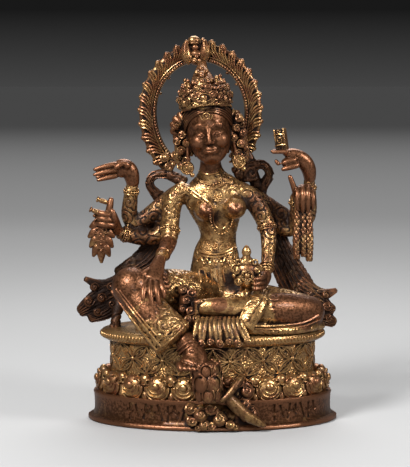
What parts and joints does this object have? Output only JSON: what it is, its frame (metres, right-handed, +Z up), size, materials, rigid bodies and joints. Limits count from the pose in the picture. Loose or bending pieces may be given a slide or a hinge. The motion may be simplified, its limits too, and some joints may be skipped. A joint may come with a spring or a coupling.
{
  "type": "vasudhara figure",
  "caption": "Small gilt copper casting of a seated six-armed goddess of plenty with a vase, grain and book, before an aureole on an oval lotus throne.",
  "frame": {"origin": "centre of the throne's oval, on its flat underside", "axes": "+Z up, -Y towards the viewer of the figure's front, +X to that viewer's right"},
  "size_m": [0.1056, 0.0747, 0.1535],
  "materials": {
    "gilt_copper": "worn gilding over brown patinated copper"
  },
  "bodies": {
    "root": {"statuette": "gilt_copper"}
  },
  "joints": []
}
